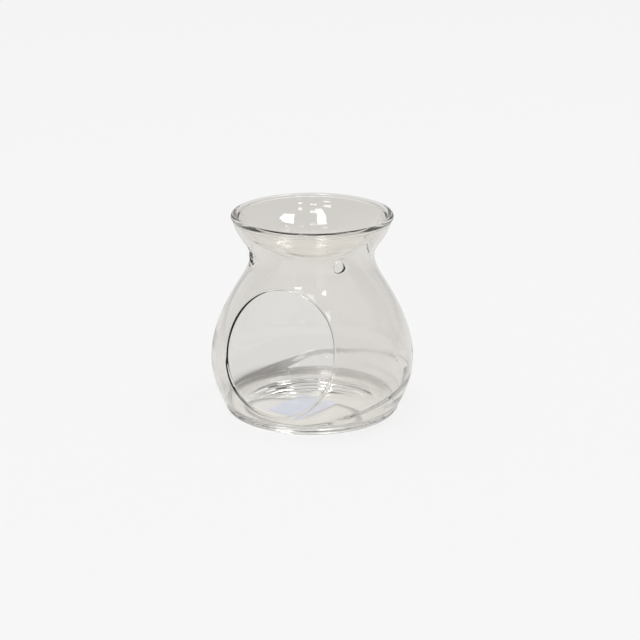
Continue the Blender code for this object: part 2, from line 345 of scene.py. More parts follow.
def inside_block(i, j, block):
    """True for a grid point strictly inside a block."""
    first, last, low, high = block
    return 0 < (i - first) % COLUMNS < last - first and low < j < high


def lay_sheet(skin, rows, place):
    """Lay grid points and cells for the given rows. Gives {(column, row): point number}."""
    blocks = [OPENING_BLOCK] + VENT_BLOCKS
    grid = {}
    for j in rows:
        for i in range(COLUMNS):
            if not any(inside_block(i, j, block) for block in blocks):
                grid[i, j] = skin.add(place(column_turn(i), row_height(j)))
    for j in rows[:-1]:
        for i in range(COLUMNS):
            if not any(in_block(i, j, block) for block in blocks):
                k = (i + 1) % COLUMNS
                skin.faces.append((grid[i, j], grid[k, j], grid[k, j + 1], grid[i, j + 1]))
    return grid


def block_border(block):
    """The grid points round a block, in order, as (column, row)."""
    first, last, low, high = block
    border = [(i, low) for i in range(first, last)]
    border += [(last, j) for j in range(low, high)]
    border += [(i, high) for i in range(last, first, -1)]
    border += [(first, j) for j in range(high, low, -1)]
    return border


body = Skin()
outside = lay_sheet(body, list(range(0, ROWS + 1)), wall_point)
inside = lay_sheet(body, list(range(INSIDE_ROWS[0], INSIDE_ROWS[1] + 1)), inner_point)
print("points on the two sheets:", len(outside), len(inside))

# %% [markdown]
# ## The opening's edge
#
# The hole is cut while the glass is cold, then its edge is melted in a flame until it draws up
# into a smooth round, which sags into a fuller bead along the bottom. A Bevel modifier would do for
# a flat plate. Here the edge follows a wall that curves two ways, so we lay its rings ourselves:
# each ring is an oval round the opening, at its own depth in the wall and its own distance out.

# %% Fill a block with rings
EDGE_ROUND = 0.53             # radius of the melted edge, as a share of the wall
EDGE_SAG = 0.16               # what the bead along the bottom adds to that share
EDGE_MARGIN = 1.9             # how far out from the clear hole the edge's own rings begin
EDGE_SHOULDER = 1.55          # and how far out a faint swell beside the round lies


def edge_rings(angle):
    """Depth in the wall and distance out from the clear hole, ring by ring, at an angle."""
    rounding = (EDGE_ROUND + EDGE_SAG * ease(-0.5, 0.9, -math.sin(angle))) * WALL
    middle = rounding - 0.03 * WALL
    rings = [(0.0, EDGE_MARGIN), (-0.02, EDGE_SHOULDER)]
    for i in range(13):
        over = math.radians(-90.0 + 180.0 * i / 12)
        rings.append((middle + rounding * math.sin(over), rounding * (1 - math.cos(over))))
    rings += [(WALL + 0.02, EDGE_SHOULDER), (WALL, EDGE_MARGIN)]
    return rings


def opening_place(angle, distance):
    """Turn and height of a point beside the opening."""
    across = (OPENING_HALF_WIDTH + distance) * math.cos(angle)
    height = OPENING_HEIGHT + (OPENING_HALF_HEIGHT + distance) * math.sin(angle)
    return math.asin(across / outer_radius(height)), height


def open_the_front(skin):
    """Join the two sheets through the opening."""
    border = block_border(OPENING_BLOCK)
    places = [(column_turn(i), row_height(j)) for i, j in border]
    angles = []
    for turn, height in places:
        across = outer_radius(height) * math.sin(turn) / OPENING_HALF_WIDTH
        angles.append(math.atan2((height - OPENING_HEIGHT) / OPENING_HALF_HEIGHT, across))

    def between(share, place):
        """A ring on one sheet, that share of the way from the edge's rings out to the block."""
        points = []
        for (turn, height), angle in zip(places, angles):
            near_turn, near_height = opening_place(angle, EDGE_MARGIN)
            here = near_turn + (turn - near_turn) * share
            level = near_height + (height - near_height) * share
            points.append(place(here, level))
        return skin.ring(points)

    shares = [0.86, 0.72, 0.58, 0.45, 0.33, 0.22, 0.12]
    rings = [[outside[i % COLUMNS, j] for i, j in border]]
    rings += [between(share, wall_point) for share in shares]
    for k in range(len(edge_rings(0.0))):
        points = []
        for angle in angles:
            depth, distance = edge_rings(angle)[k]
            turn, height = opening_place(angle, distance)
            full = wall_depth(turn, height) / WALL
            points.append(wall_point(turn, height, depth * full))
        rings.append(skin.ring(points))
    rings += [between(share, inner_point) for share in reversed(shares)]
    rings.append([inside[i % COLUMNS, j] for i, j in border])
    for one, two in zip(rings, rings[1:]):
        skin.band(one, two)
    return len(rings)


print("rings through the opening:", open_the_front(body))

# %% [markdown]
# ## The vents
#
# A vent is made by heating one spot, pushing a tungsten point through it and drawing the soft
# glass outward. The flame then rounds it, so what stays is low: a flared foot, a soft lip half a
# millimetre high, hardly any straight bore, and inside, a dimple that leads into it. Its section
# is written as distance from the vent's own axis and height above the neck, and is spun about
# that axis.

# %% Draw out the vents
VENT_OUTER = [
    # distance from the vent's axis, height above the neck
    (6.3, 0.01), (5.7, 0.04), (5.2, 0.10), (4.75, 0.20), (4.35, 0.32), (4.0, 0.43), (3.7, 0.51),
    (3.45, 0.55), (3.22, 0.55), (3.02, 0.50), (2.84, 0.40), (2.71, 0.24), (2.63, 0.02),
    (2.6, -0.15),
]
VENT_INNER = [
    # and on through the bore to the inside of the neck
    (2.6, -0.3), (2.64, -0.52), (2.77, -0.77), (3.05, -1.02), (3.5, -1.21), (4.1, -1.36),
    (4.8, -1.44), (5.5, -1.48), (6.3, -1.5),
]


def vent_point(angle, distance, round_it, rise, sheet):
    """A point round a vent. Near the axis it obeys the vent, far from it the curved neck."""
    across = distance * math.cos(round_it)
    height = VENT_HEIGHT + distance * math.sin(round_it)
    follow = ease(3.3, 5.6, distance)
    reach = outer_radius(height)
    curved = math.sqrt(reach**2 - across**2) - outer_radius(VENT_HEIGHT)
    out = outer_radius(VENT_HEIGHT) + rise + curved * follow
    turn = math.radians(angle)
    sideways = Vector((math.cos(turn), math.sin(turn), 0.0))
    outward = Vector((math.sin(turn), -math.cos(turn), 0.0))
    own = outward * out + sideways * across + Vector((0.0, 0.0, height))
    depth = 0.0 if sheet == "outside" else wall_depth(turn, height)
    on_sheet = wall_point(turn + math.asin(across / reach), height, depth)
    settle = ease(5.0, 6.3, distance)
    return own.lerp(on_sheet, settle)


def draw_out_vent(skin, block, angle):
    """Join the two sheets through one vent."""
    border = block_border(block)
    angles = []
    for i, j in border:
        turn = column_turn(i) - math.radians(angle)
        turn = (turn + math.pi) % math.tau - math.pi
        up = (row_height(j) - VENT_HEIGHT) / (VENT_CELLS * ROW)
        angles.append(math.atan2(up, turn / math.radians(VENT_CELLS * COLUMN_STEP)))
    rings = [[outside[i % COLUMNS, j] for i, j in border]]
    for section, sheet in ((VENT_OUTER, "outside"), (VENT_INNER, "inside")):
        for distance, rise in section:
            rings.append(skin.ring(
                vent_point(angle, distance, around, rise, sheet) for around in angles
            ))
    rings.append([inside[i % COLUMNS, j] for i, j in border])
    for one, two in zip(rings, rings[1:]):
        skin.band(one, two)
    return len(rings)


for block, angle in zip(VENT_BLOCKS, VENT_ANGLES):
    draw_out_vent(body, block, angle)
print("vents drawn out:", len(VENT_BLOCKS))

# %% [markdown]
# ## Closing the body where it is melted to its neighbours
#
# The real lamp was joined hot, so at the floor and at the dish there is no surface at all: light
# goes straight on through the glass. The pieces here stay apart, as they do in the measured model.
# Each ends in a narrow weld face, which later gets a material that lets light through unbent.
# Below, one bend leads from the wall onto the floor. Above, the inside bends over to a sharp crease
# high up in the rim, where the hollow between collar and dish ends.

# %% Close the foot and the top of the body
FLOOR_MIDDLE = 3.4            # height of the floor's top on the axis
FLOOR_DISH = 1.0              # how much higher it is at its edge
FLOOR_REACH = 33.0            # radius at which the body's bend takes over from the floor
UNEVEN_FLOOR = 0.15
SEAM_GROOVE = 0.22            # depth of the fine crease between floor and body
APEX = (37.6, 100.4)          # radius and height at which the hollow under the rim ends


def floor_height(turn, radius):
    """Height of the floor's top. It is dished a little, and uneven where it was soft."""
    spot = spun(turn, radius, 7.0) / 16.0
    return FLOOR_MIDDLE + FLOOR_DISH * (radius / FLOOR_REACH)**2 + UNEVEN_FLOOR * noise.noise(spot)


def section_ring(skin, sections, k):
    """A ring made of the k-th point of one (radius, height) section for each column."""
    return skin.ring(spun(column_turn(i), *section[k]) for i, section in enumerate(sections))


def foot_section(turn):
    """From the inside of the wall, in one smooth bend, onto the floor."""
    point = inner_point(turn, row_height(INSIDE_ROWS[0]))
    above = inner_point(turn, row_height(INSIDE_ROWS[0] + 1))
    start = (math.hypot(point.x, point.y), point.z)
    slope = (math.hypot(above.x, above.y) - start[0]) / (above.z - start[1])
    drift = noise.noise(Vector((1.6 * math.sin(turn), -1.6 * math.cos(turn), 3.0)))
    pull = (start[0] - 1.3 * slope, start[1] - 1.3)
    end = (FLOOR_REACH, floor_height(turn, FLOOR_REACH))
    share = 0.6 + 0.35 * drift
    end_pull = ((1 - share) * FLOOR_REACH + share * pull[0], end[1])
    return bend(start, pull, end_pull, end, 16) + [end]


def close_body(skin):
    """Add the foot, the wall's top and the two weld faces."""
    feet = [foot_section(column_turn(i)) for i in range(COLUMNS)]
    rings = [[inside[i, INSIDE_ROWS[0]] for i in range(COLUMNS)]]
    rings += [section_ring(skin, feet, k) for k in range(len(feet[0]))]
    groove = outer_radius(FOOT_BASE) - SEAM_GROOVE  # the crease takes two rings of its own
    rings += turned(skin, [(groove, 3.72), (groove + 0.12, 3.78)], COLUMNS)
    rings.append([outside[i, 0] for i in range(COLUMNS)])
    for number, (one, two) in enumerate(zip(rings, rings[1:])):
        skin.band(one, two, weld=number == len(feet[0]))

    start_point = inner_point(0.0, row_height(INSIDE_ROWS[1]))
    start = (math.hypot(start_point.x, start_point.y), start_point.z)
    arch = bend(start, (start[0] + 0.2, start[1] + 0.55), (APEX[0] + 0.2, APEX[1]), APEX, 7)
    rings = [[inside[i, INSIDE_ROWS[1]] for i in range(COLUMNS)]]
    rings += turned(skin, arch + [APEX], COLUMNS)
    for one, two in zip(rings, rings[1:]):
        skin.band(one, two)
    skin.band(rings[-1], [outside[i, ROWS] for i in range(COLUMNS)], weld=True)


close_body(body)
body_wall = body.finish("body_wall")

# %% [markdown]
# ## The floor
#
# The floor is a thicker disc with a rounded heel, drawn up a little underneath so that the lamp
# stands on a ring. It is pure lathe work, so its section is spun. The rings in the base of the
# real lamp come from these curves, seen through each other. Only the top isn't quite round, so its
# rings are laid point by point.

# %% Turn the floor
PUNT_DEPTH = 1.7              # height of the low dome underneath, on the axis
RING_EDGE = 33.5              # the dome begins here, and the standing ring goes on to the heel
HEEL_START = 37.0
HEEL_WIDTH = 6.6
HEEL_HEIGHT = 3.4
WELD_GAP = 0.03               # the floor's top edge and the body's foot stay this far apart


def punt_height(radius):
    """Height of the low dome underneath."""
    return PUNT_DEPTH * (1 - (radius / RING_EDGE)**2)


def turn_floor():
    """The floor disc: heel, standing ring, low dome underneath, and the top inside the body."""
    skin = Skin()
    groove = outer_radius(FOOT_BASE) - SEAM_GROOVE
    heel = []
    for i in range(13):
        angle = math.radians(90.0 * i / 12)
        heel.append((HEEL_START + HEEL_WIDTH * math.cos(angle),
                     HEEL_HEIGHT * (1 - math.sin(angle))))
    punt = [(36.3, 0.0), (35.4, 0.0), (34.4, 0.0)]
    radii = [33.2, 32.2, 31.0, 29.5, 28.0] + [26.0 - 2.0 * i for i in range(13)]
    punt += [(radius, punt_height(radius)) for radius in radii]
    rings = turned(skin, [(groove, 3.69), (groove + 0.1, 3.6)] + heel + punt, COLUMNS)
    upper = []
    for k in range(1, 23):
        radius = FLOOR_REACH * k / 22
        turns = [column_turn(i) for i in range(COLUMNS)]
        upper.append(skin.ring(
            spun(turn, radius, floor_height(turn, radius) - WELD_GAP) for turn in turns
        ))
    under = skin.add(Vector((0.0, 0.0, PUNT_DEPTH)))
    over = skin.add(Vector((0.0, 0.0, floor_height(0.0, 0.0) - WELD_GAP)))
    for group in (rings, upper):
        for one, two in zip(group, group[1:]):
            skin.band(one, two)
    skin.band(upper[-1], rings[0], weld=True)
    skin.fan(under, rings[-1])
    skin.fan(over, upper[0])
    return skin.finish("melted_floor")


melted_floor = turn_floor()

# %% [markdown]
# ## The oil dish
#
# The dish is a second bubble, opened out and set into the collar. Its wall is thinner than the
# body's, and it is steepest at the top, where its rim was rolled over and melted onto the collar's
# edge. That left the thick round bead. The section is turned like lathe work: it goes up the
# underside, over the bead and down the inside again.

# %% Turn the dish and its rolled rim
DISH_STATIONS = (
    # radius, height of the underside, how steep it is there
    (12.0, 83.4, 0.0),
    (22.0, 85.3, 0.38),
    (30.0, 90.0, 0.82),
    (35.2, 95.4, 1.60),
    (36.6, 98.0, 2.20),
    (37.2, 99.5, 2.80),
)
DISH_WALL = 0.9
DISH_FIRST = 10.0             # the flat middle reaches this far
DISH_LAST = 37.0              # and the bead takes over here
DISH_STEPS = 48
RIM_CENTRE = (38.55, 100.43)  # radius and height of the bead's middle
RIM_BEAD = 1.55               # its own radius
BEAD_FROM = -8.0              # the part of its round that shows, in degrees
BEAD_TO = 165.0
WELD_ABOVE = 0.04             # the dish and the top of the body stay this far apart


def dish_under(radius):
    """Height and slope of the dish's underside at a radius."""
    def height_at(where):
        if where <= DISH_STATIONS[0][0]:
            return DISH_STATIONS[0][1]
        for low, high in zip(DISH_STATIONS, DISH_STATIONS[1:]):
            if where <= high[0]:
                break
        return cubic(low, high, where)
    return height_at(radius), (height_at(radius + 0.05) - height_at(radius - 0.05)) / 0.1


def dish_radius(share):
    """Radius at a share of the way in from the bead, with the rows crowded near the bead."""
    return DISH_LAST - (DISH_LAST - DISH_FIRST) * share**1.6


def on_bead(degrees):
    """A point of the section on the rim's bead, 0 degrees straight out and 90 on top."""
    angle = math.radians(degrees)
    return RIM_CENTRE[0] + RIM_BEAD * math.cos(angle), RIM_CENTRE[1] + RIM_BEAD * math.sin(angle)


def turn_dish():
    """The dish, from the middle of its underside right round its section."""
    skin = Skin()
    under = [(radius, dish_under(radius)[0]) for radius in (3.0, 7.0, DISH_FIRST)]
    for i in range(1, DISH_STEPS + 1):
        radius = dish_radius(1 - i / DISH_STEPS)
        under.append((radius, dish_under(radius)[0]))
    last = under[-1]
    slope = dish_under(last[0])[1]
    pull = (last[0] + 0.25, last[1] + 0.25 * slope)
    crease = (APEX[0], APEX[1] + WELD_ABOVE)
    under += bend(last, pull, (crease[0] - 0.2, crease[1]), crease, 6) + [crease]

    lip, top = outer_radius(WALL_STATIONS[-1][0]), WALL_STATIONS[-1][0] + WELD_ABOVE
    shoulder = on_bead(BEAD_FROM)
    side = [(lip, top)]
    pull_up, pull_down = (lip + 0.2, top + 0.5), (shoulder[0] - 0.05, shoulder[1] - 0.4)
    side += bend(side[0], pull_up, pull_down, shoulder, 5)
    side += [on_bead(BEAD_FROM + (BEAD_TO - BEAD_FROM) * i / 20) for i in range(21)]

    hollow = []
    for i in range(DISH_STEPS + 1):
        radius = dish_radius(i / DISH_STEPS)
        height, slope = dish_under(radius)
        length = math.hypot(1.0, slope)
        hollow.append((radius - DISH_WALL * slope / length, height + DISH_WALL / length))
    first = hollow[0]
    slope = dish_under(DISH_LAST)[1]
    length = math.hypot(1.0, slope)
    end = side[-1]
    lean = math.radians(BEAD_TO)
    pull_out = (end[0] - 0.4 * math.sin(lean), end[1] + 0.4 * math.cos(lean))
    pull_in = (first[0] + 0.4 / length, first[1] + 0.4 * slope / length)
    over = bend(end, pull_out, pull_in, first, 8) + hollow
    over += [(6.5, over[-1][1]), (3.0, over[-1][1])]

    rings = turned(skin, under + side + over, COLUMNS)
    for number, (one, two) in enumerate(zip(rings, rings[1:])):
        skin.band(one, two, weld=number == len(under) - 1)
    skin.fan(skin.add(Vector((0.0, 0.0, under[0][1]))), rings[0])
    skin.fan(skin.add(Vector((0.0, 0.0, over[-1][1]))), rings[-1])
    return skin.finish("oil_dish")


oil_dish = turn_dish()

# %% [markdown]
# ## The label
#
# A small pale-blue label is stuck up inside the hollow of the base. It is left blank. Paper takes
# the shape that it is stuck to, so it is a thin sheet with rounded corners that follows the dome.
# A plane with a Solidify modifier would do too, but rings that shrink to the middle give the same
# sheet from the same small helper.

# %% Cut the label
LABEL_HALF = (11.25, 14.75)   # half its width and half its length
LABEL_CORNER = 2.0
LABEL_CENTRE = (-1.8, -8.4)
LABEL_TURN = -14.5            # in degrees, because it was stuck on askew
LABEL_GAP = 0.04              # the glue under it
LABEL_THICKNESS = 0.13


def cut_label():
    """A thin blank label, stuck on slightly askew."""
    skin = Skin()
    turn = Matrix.Rotation(math.radians(LABEL_TURN), 2)
    middle = Vector(LABEL_CENTRE)

    def lay(flat, drop):
        """A point of the label, under the dome."""
        return Vector((flat.x, flat.y, punt_height(flat.length) - LABEL_GAP - drop))

    corners = ((1, 1, 0), (-1, 1, 90), (-1, -1, 180), (1, -1, 270))
    reach = [half - LABEL_CORNER for half in LABEL_HALF]
    rings = []
    levels = [(share / 8, 0.0) for share in range(1, 9)]
    levels += [(1.0, 0.8 * LABEL_THICKNESS)]
    levels += [(share / 8 - 0.01, LABEL_THICKNESS) for share in range(8, 0, -1)]
    for share, drop in levels:
        ring = []
        for side_x, side_y, start in corners:
            for i in range(6):
                angle = math.radians(start + 18.0 * i)
                x = share * (side_x * reach[0] + LABEL_CORNER * math.cos(angle))
                y = share * (side_y * reach[1] + LABEL_CORNER * math.sin(angle))
                ring.append(lay(turn @ Vector((x, y)) + middle, drop))
        rings.append(skin.ring(ring))
    for one, two in zip(rings, rings[1:]):
        skin.band(one, two)
    skin.fan(skin.add(lay(middle, 0.0)), rings[0])
    skin.fan(skin.add(lay(middle, LABEL_THICKNESS)), rings[-1])
    return skin.finish("blank_label")


blank_label = cut_label()

# %% [markdown]
# ## Shader maths that reads like Python
#
# A material is a graph of nodes. Wiring each Math node by hand hides the idea behind the wiring.
# So one small class wraps a socket and lets us write sums with it, and a recipe adds any other
# node in one call: its type, its settings, then its inputs.

# %% Wrap sockets and recipes
class Amount:
    """A number that varies over a surface, usable in plain sums."""

    def __init__(self, recipe, socket):
        self.recipe = recipe
        self.socket = socket

    def sum(self, operation, first, second):
        """One Math node."""
        return self.recipe.node("ShaderNodeMath", {"operation": operation}, {0: first, 1: second})

    def __add__(self, other):
        return self.sum("ADD", self, other)

    def __radd__(self, other):
        return self.sum("ADD", other, self)

    def __sub__(self, other):
        return self.sum("SUBTRACT", self, other)

    def __rsub__(self, other):
        return self.sum("SUBTRACT", other, self)

    def __mul__(self, other):
        return self.sum("MULTIPLY", self, other)

    def __rmul__(self, other):
        return self.sum("MULTIPLY", other, self)


class Recipe:
    """One node tree and a single way to add a node to it."""

    def __init__(self, tree):
        self.tree = tree
        self.tree.nodes.clear()

    def node(self, kind, settings=None, inputs=None, give=0):
        """Add a node: settings first, then its inputs, and give back one of its outputs."""
        made = self.tree.nodes.new(kind)
        for name, value in (settings or {}).items():
            if name == "stops":
                ramp = made.color_ramp
                while len(ramp.elements) < len(value):
                    ramp.elements.new(1.0)
                for element, (position, colour) in zip(ramp.elements, value):
                    element.position = position
                    element.color = colour
            else:
                setattr(made, name, value)
        for name, value in (inputs or {}).items():
            if isinstance(value, Amount):
                self.tree.links.new(value.socket, made.inputs[name])
            else:
                made.inputs[name].default_value = value
        return Amount(self, made.outputs[give]) if made.outputs else made


def new_material(name):
    """An empty material and its recipe."""
    material = bpy.data.materials.new(name)
    material.use_nodes = True
    return material, Recipe(material.node_tree)


def grey(level):
    """A grey as a ramp or a socket wants it."""
    return (level, level, level, 1.0)


BLEND = {"data_type": "RGBA", "blend_type": "MIX"}
print("a Mix node's settings for colours:", BLEND)

# %% [markdown]
# ## Clear glass
#
# Lamp glass is borosilicate: it bends light a little less than window glass, index 1.474. It isn't
# quite colourless, and each wall takes a few hundredths of the light, more of the blue than of the
# red. Light goes through four or more walls here, so a very pale tint already shows. The blower's
# turning leaves fine ripples round the axis, and handling leaves faint smears in the polish. Lamps
# shine through it onto what is inside: a shadow ray passes, dimmed most where the wall is edge on.

# %% Mix the glass
def glass_material(name, tint, ripple):
    """Clear glass with turning ripples and faint smears, which lets the lamps shine through."""
    material, recipe = new_material(name)
    place = recipe.node("ShaderNodeTexCoord", give="Object")
    long_way = recipe.node("ShaderNodeMapping", {"vector_type": "POINT"},
                           {"Vector": place, "Scale": (18.0, 18.0, 75.0)})
    ripples = recipe.node("ShaderNodeTexNoise", {"noise_dimensions": "3D"},
                          {"Vector": long_way, "Scale": 1.0, "Detail": 1.5, "Roughness": 0.45})
    smears = recipe.node("ShaderNodeTexNoise", {"noise_dimensions": "3D"},
                         {"Vector": place, "Scale": 42.0, "Detail": 4.0, "Roughness": 0.6})
    haze = recipe.node("ShaderNodeValToRGB", {"stops": [(0.5, grey(0.0)), (0.75, grey(0.03))]},
                       {"Fac": smears})
    surface = recipe.node("ShaderNodeBump", None,
                          {"Strength": ripple, "Distance": 0.001, "Height": ripples})
    glass = recipe.node("ShaderNodeBsdfPrincipled", None, {
        "Base Color": (*tint, 1.0),
        "Roughness": haze,
        "IOR": 1.474,
        "Transmission Weight": 1.0,
        "Normal": surface,
    })
    edge_on = recipe.node("ShaderNodeLayerWeight", None, {"Blend": 0.5}, give="Facing")
    dimmer = recipe.node("ShaderNodeMix", BLEND, {
        "Factor": edge_on * edge_on,
        "A": (0.97, 0.97, 0.96, 1.0),
        "B": (0.30, 0.30, 0.29, 1.0),
    }, give="Result")
    clear = recipe.node("ShaderNodeBsdfTransparent", None, {"Color": dimmer})
    shadow = recipe.node("ShaderNodeLightPath", give="Is Shadow Ray")
    mixed = recipe.node("ShaderNodeMixShader", None, {0: shadow, 1: glass, 2: clear})
    recipe.node("ShaderNodeOutputMaterial", None, {"Surface": mixed})
    return material


def weld_material():
    """The melted joint: there is no surface there, so light goes straight on."""
    material, recipe = new_material("melted_joint")
    clear = recipe.node("ShaderNodeBsdfTransparent", None, {"Color": (1.0, 1.0, 1.0, 1.0)})
    recipe.node("ShaderNodeOutputMaterial", None, {"Surface": clear})
    return material


GLASS_TINT = (0.975, 0.967, 0.95)  # borosilicate is a little warmer than pure white
melted_joint = weld_material()
for piece, name, ripple in ((body_wall, "clear_wall_glass", 0.10),
                            (melted_floor, "clear_floor_glass", 0.12),
                            (oil_dish, "clear_dish_glass", 0.08)):
    piece.data.materials.append(glass_material(name, GLASS_TINT, ripple))
    piece.data.materials.append(melted_joint)
print("glass tint:", GLASS_TINT)

# %% [markdown]
# ## Label paper
#
# The label is matt coated paper, pale blue. Up close it shows fine fibres and a little dust that
# the glue has caught, so its colour and its roughness both drift.

# %% Mix the label's paper
def paper_material():
    """Pale-blue paper with fine fibres."""
    material, recipe = new_material("pale_blue_paper")
    place = recipe.node("ShaderNodeTexCoord", give="Object")
    fibres = recipe.node("ShaderNodeTexNoise", {"noise_dimensions": "3D"},
                         {"Vector": place, "Scale": 1400.0, "Detail": 3.0, "Roughness": 0.6})
    drift = recipe.node("ShaderNodeTexNoise", {"noise_dimensions": "3D"},
                        {"Vector": place, "Scale": 90.0, "Detail": 2.0, "Roughness": 0.5})
    colour = recipe.node("ShaderNodeMix", BLEND, {
        "Factor": 0.7 * drift + 0.3 * fibres,
        "A": (0.59, 0.64, 0.80, 1.0),
        "B": (0.71, 0.75, 0.88, 1.0),
    }, give="Result")
    fuzz = recipe.node("ShaderNodeBump", None,
                       {"Strength": 0.25, "Distance": 0.0001, "Height": fibres})
    paper = recipe.node("ShaderNodeBsdfPrincipled", None, {
        "Base Color": colour,
        "Roughness": 0.5 + 0.15 * fibres,
        "IOR": 1.45,
        "Normal": fuzz,
    })
    recipe.node("ShaderNodeOutputMaterial", None, {"Surface": paper})
    return material


blank_label.data.materials.append(paper_material())
print("label paper:", blank_label.data.materials[0].name)

# %% [markdown]
# ## Tying the pieces to the measured model
#
# Each glass piece stands for the plain solid of the same part, and nothing moves, so they all ride
# on the one body.

# %% Ride and replace
for piece, node, slot in (
    (body_wall, "glass_body", "body_glass"),
    (melted_floor, "floor_disc", "floor_glass"),
    (oil_dish, "oil_bowl", "bowl_glass"),
    (blank_label, "base_label", "label_paper"),
):
    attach(piece, "root")
    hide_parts(node)
    print(piece.name, "stands for", node)

# %% [markdown]
# ## The table top
#
# The table is plain and pale. What the camera sees of it directly is mostly a glow of its own, so
# that it stays as pale as in the photograph, with a small share of real light, so that the lamp
# still casts its shadow. Gloss and glass see the same table, a little dimmer. There it is painted
# a little darker under the lamp, as its shade, and darker still far off, as the lamps' light falls
# off.

# %% The table's levels
BACKGROUND = 0.935            # the table as the camera sees it directly
SHADOW_SHARE = 0.16           # the share of real light in that
GLASS_SHARE = 0.6             # and in what gloss and glass see
TABLE_REACH = 14.0
# painted shade and light: a little darker under the lamp, and darker far off, where the lamps'
# light falls off
TABLE_LEVELS = [
    # distance from the axis in metres, colour in gloss and glass
    (0.030, (0.77, 0.76, 0.745, 1.0)),
    (0.060, (0.79, 0.78, 0.765, 1.0)),
    (0.20, (0.79, 0.78, 0.765, 1.0)),
    (0.45, (0.72, 0.71, 0.695, 1.0)),
    (0.90, (0.60, 0.59, 0.58, 1.0)),
]
print("levels of the table in the glass:", len(TABLE_LEVELS))

# %% [markdown]
# ## Shade that only the glass shows
#
# In the photograph the thick foot draws dark arcs, because the lamp's own shade lies on the table
# behind it. A dark curved line in front of the shade is cast by the edge of the opening. The
# renderer could trace such light through the glass, but only slowly and with specks. So both are
# laid on the table as places, a disc and an oval, and only gloss and glass see them.

# %% Lay out the shade
CAMERA_TURN = 23.5            # the photograph's side, in degrees from the front
SIDE = math.radians(CAMERA_TURN)
CAMERA_RIGHT = (math.cos(SIDE), math.sin(SIDE), 0.0)
SHADE_BEHIND = 0.0266         # metres from the axis to the middle of the disc, straight away
SHADE_CENTRE = (-SHADE_BEHIND * math.sin(SIDE), SHADE_BEHIND * math.cos(SIDE), 0.0)
SHADE_EDGE = [(0.0400, grey(1.0)), (0.0440, grey(0.0))]  # metres from the disc's middle
BASE_EDGE = [(0.038, grey(0.0)), (0.043, grey(1.0))]  # right under the lamp there is none
SHADE_SIDE = [(0.24, grey(1.0)), (0.50, grey(0.45))]  # full on the left, less on the right
SHADE_COLOUR = (0.33, 0.32, 0.31, 1.0)
# a painted shadow line: the oval shadow that the opening's edge casts on the table
EDGE_SHADOW_CENTRE = (0.0012, -0.0149, 0.0)
EDGE_SHADOW_HALVES = (1 / 0.0300, 1 / 0.0208, 0.0)  # one over the oval's half widths in metres
EDGE_SHADOW_LEVELS = [
    # half the distance from the oval's middle, in its own half widths, and the light left there
    (0.430, grey(1.0)), (0.480, grey(0.50)), (0.502, grey(0.40)), (0.518, grey(0.92)),
    (0.53, grey(1.0)),
]


def distance_from(recipe, place, centre):
    """How far a place is from a centre."""
    moved = recipe.node("ShaderNodeVectorMath", {"operation": "SUBTRACT"}, {0: place, 1: centre})
    return recipe.node("ShaderNodeVectorMath", {"operation": "LENGTH"}, {0: moved}, give="Value")


def table_in_glass(recipe, place):
    """The table's colour in gloss and glass: painted shade under and behind the lamp, the painted
    shadow line of the opening's edge, and a painted falloff of light far off.
    """
    radius = distance_from(recipe, place, (0.0, 0.0, 0.0))
    # the plain level, with the painted shade under the lamp and the painted falloff far off
    level_and_painted_falloff = recipe.node("ShaderNodeValToRGB", {"stops": TABLE_LEVELS}, {"Fac": radius})
    disc = recipe.node("ShaderNodeValToRGB", {"stops": SHADE_EDGE},
                       {"Fac": distance_from(recipe, place, SHADE_CENTRE)})
    clear_of_base = recipe.node("ShaderNodeValToRGB", {"stops": BASE_EDGE}, {"Fac": radius})
    across = recipe.node("ShaderNodeVectorMath", {"operation": "DOT_PRODUCT"},
                         {0: place, 1: CAMERA_RIGHT}, give="Value")
    side = recipe.node("ShaderNodeValToRGB", {"stops": SHADE_SIDE}, {"Fac": 0.5 + 12.0 * across})
    shaded = recipe.node("ShaderNodeMix", BLEND, {
        "Factor": disc * clear_of_base * side,
        "A": level_and_painted_falloff,
        "B": SHADE_COLOUR,
    }, give="Result")
    # the painted shadow line of the opening's edge
    moved = recipe.node("ShaderNodeVectorMath", {"operation": "SUBTRACT"},
                        {0: place, 1: EDGE_SHADOW_CENTRE})
    halves = recipe.node("ShaderNodeVectorMath", {"operation": "MULTIPLY"},
                         {0: moved, 1: EDGE_SHADOW_HALVES})
    oval = recipe.node("ShaderNodeVectorMath", {"operation": "LENGTH"}, {0: halves}, give="Value")
    line = recipe.node("ShaderNodeValToRGB", {"stops": EDGE_SHADOW_LEVELS}, {"Fac": 0.5 * oval})
    return recipe.node("ShaderNodeMix", {"data_type": "RGBA", "blend_type": "MULTIPLY"},
                       {"Factor": 1.0, "A": shaded, "B": line}, give="Result")


print("disc of shade at", [round(value, 4) for value in SHADE_CENTRE])

# %% [markdown]
# ## Laying the table
#
# The table is one flat face. Its material asks the Light Path node who is looking: the camera sees
# the plain background, gloss and glass see the table with its shade, and all other light meets a
# plain pale surface. It belongs to the stage and isn't part of the lamp.

# %% Lay the table
def who_is_looking(recipe):
    """Two masks: one for the camera alone, and one for the camera, gloss and glass."""
    camera_ray = recipe.node("ShaderNodeLightPath", give="Is Camera Ray")
    glossy_ray = recipe.node("ShaderNodeLightPath", give="Is Glossy Ray")
    glass_ray = recipe.node("ShaderNodeLightPath", give="Is Transmission Ray")
    seen = recipe.node("ShaderNodeMath", {"operation": "MINIMUM"},
                       {0: camera_ray + glossy_ray + glass_ray, 1: 1.0})
    return camera_ray, seen


